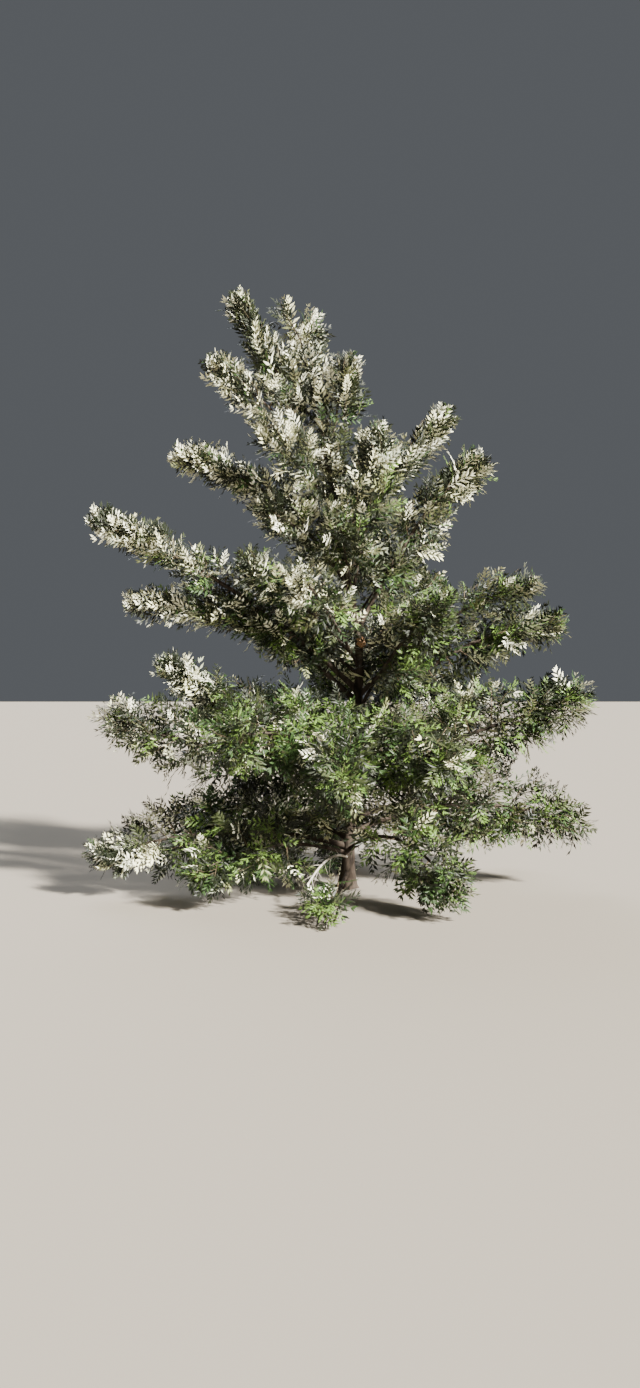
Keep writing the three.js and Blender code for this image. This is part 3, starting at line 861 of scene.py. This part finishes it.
def stem_mesh(mass):
    """The stem that runs through a mass, from the tip of its bough or from the trunk."""
    share = np.linspace(mass.bare if mass in boughs else 0, stem_stop(mass), STEM_RINGS)
    thinner = 1 - STEM_THINNING * (share - STEM_THINS_FROM) / (1 - STEM_THINS_FROM)
    radii = mass.radius(share) * np.where(share > STEM_THINS_FROM, thinner, 1)
    return ring_tube(mass.point(share), radii, STEM_SIDES)


def twig_mesh(shoot):
    """A shoot's wood."""
    share = np.linspace(0, 1, TWIG_RINGS)
    return ring_tube(shoot.point(share), shoot.radius(share), TWIG_SIDES)


def leaf_arrays(rows):
    """Points, triangles and shades of all the leaves in rows that are clear of the ground."""
    points, triangles, shades, offset = [], [], [], 0
    for kind, (form, faces, under) in enumerate(LEAF_KINDS):
        chosen = rows[rows[:, KIND] == kind]
        way, normal = chosen[:, WAY], chosen[:, NORMAL]
        axes = np.stack([way, np.cross(normal, way), normal], 1)
        placed = chosen[:, None, ROOT] + chosen[:, LENGTH, None, None] * (form @ axes)
        clear = placed[..., 2].min(1) > 0
        placed, chosen = placed[clear], chosen[clear]
        points.append(placed.reshape(-1, 3))
        starts = offset + np.arange(len(chosen)) * len(form)
        triangles.append((faces[None] + starts[:, None, None]).reshape(-1, 3))
        upper_shade, under_shade = chosen[:, UPPER_SHADE, None], chosen[:, UNDER_SHADE, None]
        shades.append(np.where(under == 1, under_shade, upper_shade).ravel())
        offset += len(chosen) * len(form)
    return np.vstack(points), np.vstack(triangles), np.concatenate(shades).astype(int)


def sun_light(name, strength, softness, colour, tilt, turn):
    """A sun in the scene, its angles in degrees."""
    light = bpy.data.lights.new(name, "SUN")
    light.energy = strength
    light.angle = math.radians(softness)
    light.color = colour
    made = bpy.data.objects.new(name, light)
    made.rotation_euler = (math.radians(tilt), 0, math.radians(turn))
    bpy.context.scene.collection.objects.link(made)


# The tree
woods = {name: bark_material(name, *looks) for name, looks in WOODS.items()}
leaf_shades = [plain(name, colour, *LEAF_GLOSS) for name, colour in SHADES.items()]

trunk_wood, stub = trunk_mesh(), stub_mesh()
torn_face = stub[1].min(1) >= STUB_BARK_RINGS * STUB_SIDES
torn = np.concatenate([np.zeros(len(trunk_wood[1])), torn_face])
trunk_woods = [woods["bark"], woods["torn_wood"]]
trunk = mesh_object("trunk_bark", *joined([trunk_wood, stub]), trunk_woods, torn, smooth=True)
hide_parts("trunk")

bough_parts = [
    bark_tube(bough, BOUGH_SIDES, BOUGH_RINGS, BOUGH_DEPTH, i, BOUGH_FURROWS, bough.bare + BOUGH_OVERLAP)
    for i, bough in enumerate(boughs)
]
bough_bark = mesh_object("bough_bark", *joined(bough_parts), [woods["bark"]], smooth=True)
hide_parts(*[f"{bough.name}_bough" for bough in boughs])

dead = Limb(*DEAD_LIMB)
dead_parts = [bark_tube(dead, DEAD_SIDES, DEAD_RINGS, DEAD_DEPTH, DEAD_SEED, DEAD_FURROWS)]
dead_parts += [dead_twig(dead, place, i * GOLDEN_ANGLE) for i, place in enumerate(DEAD_TWIG_PLACES)]
dead_piece = mesh_object("dead_limb_wood", *joined(dead_parts), [woods["dead_wood"]], smooth=True)
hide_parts("dead_limb")

seeded = {mass.name: (seed, mass) for seed, mass in enumerate(masses, 1)}
pieces = [trunk, bough_bark, dead_piece]
shoots = []
for piece_name, (slot, names) in PIECES.items():
    leaves = []
    for name in names:
        seed, mass = seeded[name]
        grow(mass, seed, leaves, shoots)
    points, triangles, shades = leaf_arrays(np.array(leaves))
    piece = mesh_object(piece_name, points, triangles, leaf_shades, shades)
    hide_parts(*[f"{name}_leaves" for name in names])
    pieces.append(piece)

stem_parts = [stem_mesh(mass) for mass in masses]
twig_parts = [twig_mesh(shoot) for shoot in shoots]
stem_piece = mesh_object("stems", *joined(stem_parts), [woods["bark"]], smooth=True)
twig_piece = mesh_object("twigs", *joined(twig_parts), [woods["twig_bark"]], smooth=True)
for piece in (stem_piece, twig_piece):
    pieces.append(piece)

for piece in pieces:
    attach(piece, "root")

# The stage
bpy.ops.mesh.primitive_plane_add(size=FLOOR_SIZE, location=(0, 0, 0))
floor = bpy.context.object
floor.name = "floor"
floor.data.materials.append(plain("floor", FLOOR_COLOUR, *FLOOR_GLOSS))

world = bpy.data.worlds.new("world")
world.use_nodes = True
world.node_tree.nodes["Background"].inputs["Color"].default_value = (*SKY_COLOUR, 1)
world.node_tree.nodes["Background"].inputs["Strength"].default_value = SKY_STRENGTH
bpy.context.scene.world = world

for row in SUNS:
    sun_light(*row)

lens = bpy.data.cameras.new("camera")
lens.sensor_width = CAMERA_SENSOR
lens.lens = CAMERA_LENS
camera = bpy.data.objects.new("camera", lens)
camera.location = CAMERA_PLACE
camera.rotation_euler = (math.radians(CAMERA_PITCH), 0, 0)
bpy.context.scene.collection.objects.link(camera)
bpy.context.scene.camera = camera
